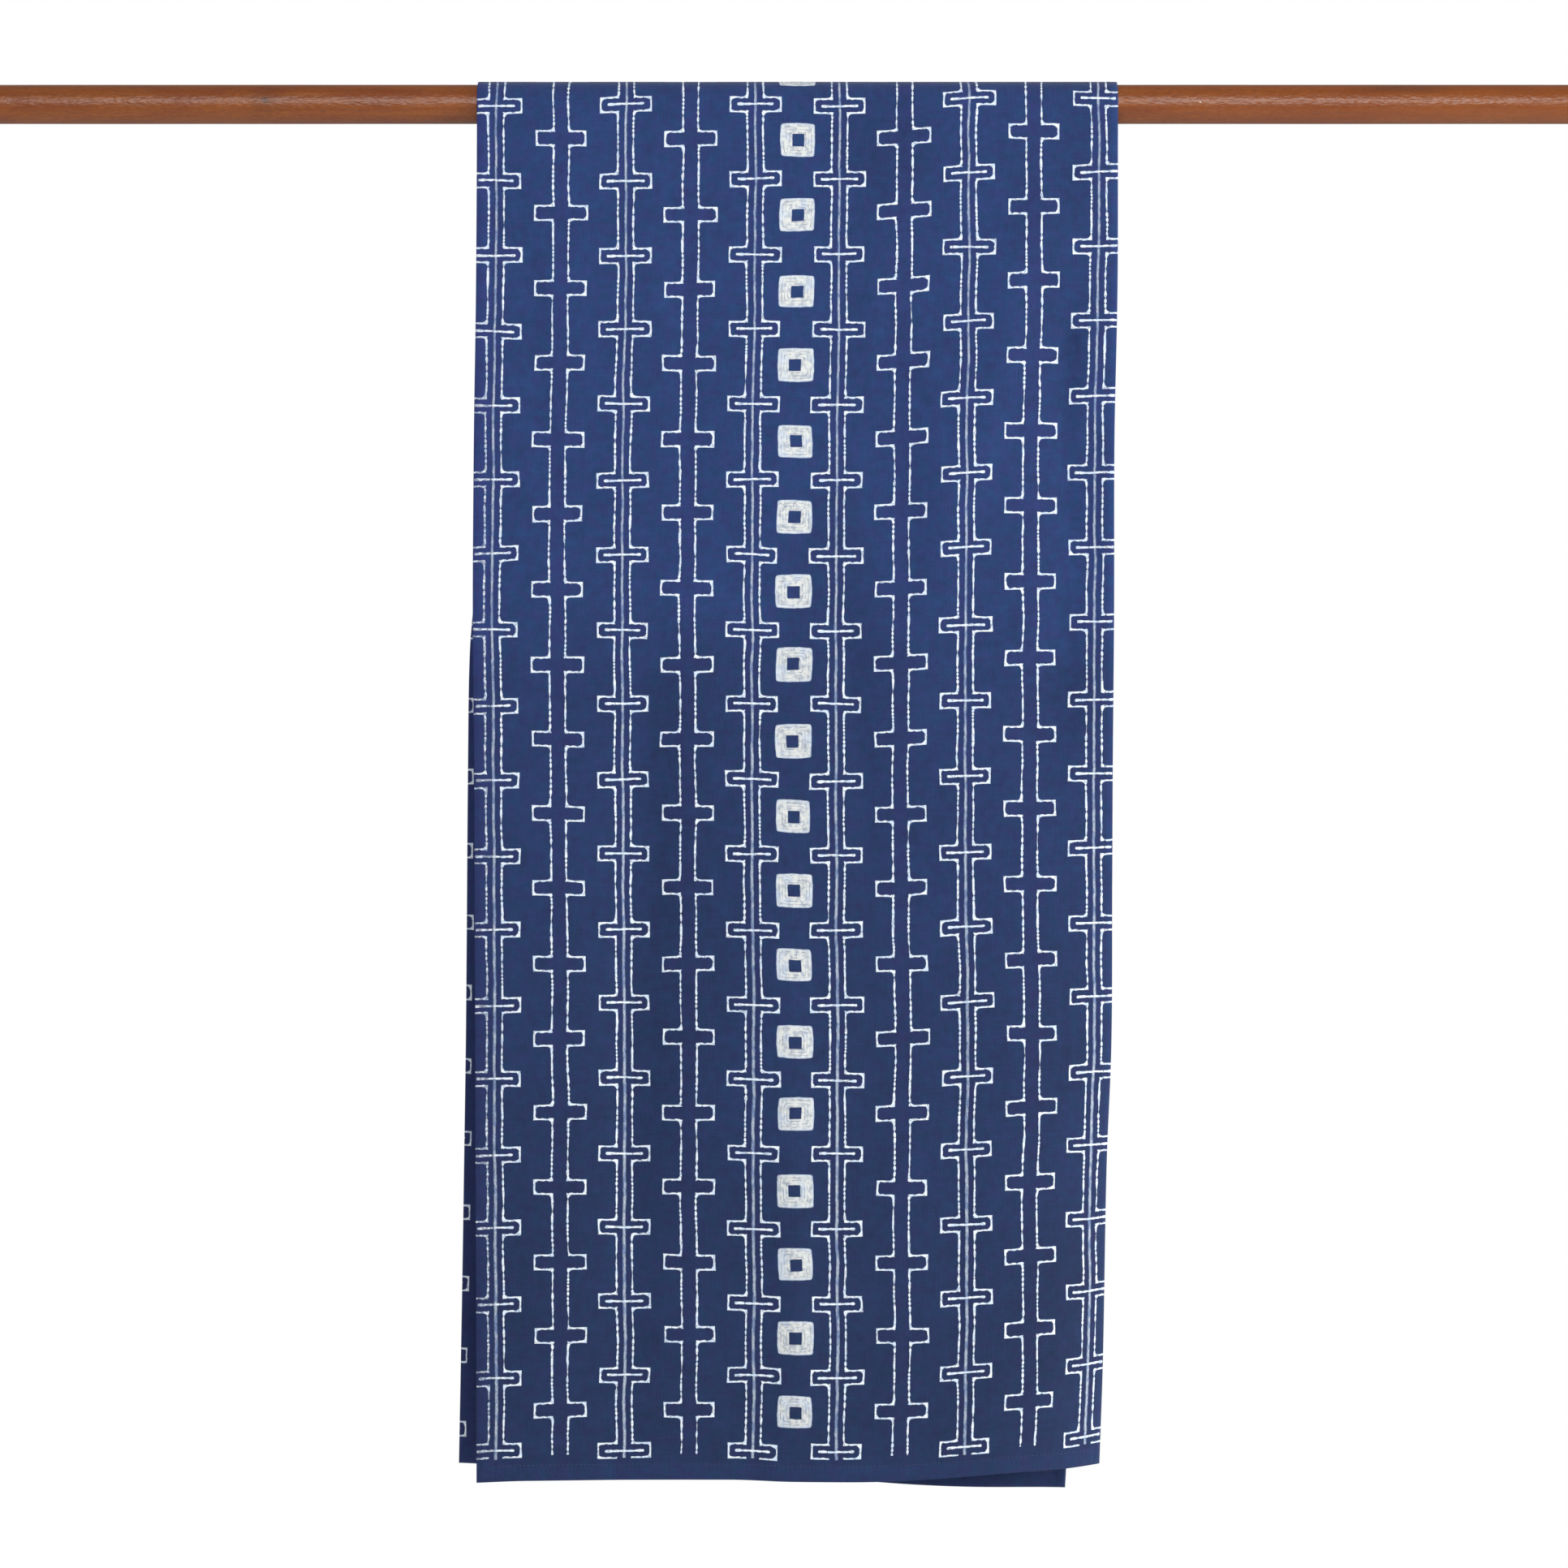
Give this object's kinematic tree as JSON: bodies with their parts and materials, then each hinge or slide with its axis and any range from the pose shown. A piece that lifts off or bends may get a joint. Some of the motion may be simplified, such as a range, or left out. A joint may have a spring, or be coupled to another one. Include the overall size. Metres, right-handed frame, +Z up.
{
  "type": "table runner on a wooden rod",
  "caption": "Long hemmed cotton runner with a resist-dyed geometric pattern, draped over a plain round wooden rod with a front and a back panel.",
  "frame": {"origin": "middle of the rod's axis, at the mount that names what holds the rod up", "axes": "+X along the rod to the right of a viewer who faces the front panel, which hangs on the -Y side; +Z up"},
  "size_m": [1.2, 0.0663, 1.0152],
  "materials": {
    "dyed_cotton": "plain-woven cotton dyed navy blue, with white and pale blue resist-drawn lines",
    "varnished_wood": "reddish-brown wood with a satin varnish"
  },
  "bodies": {
    "root": {"runner": "dyed_cotton", "rod": "varnished_wood"}
  },
  "joints": []
}
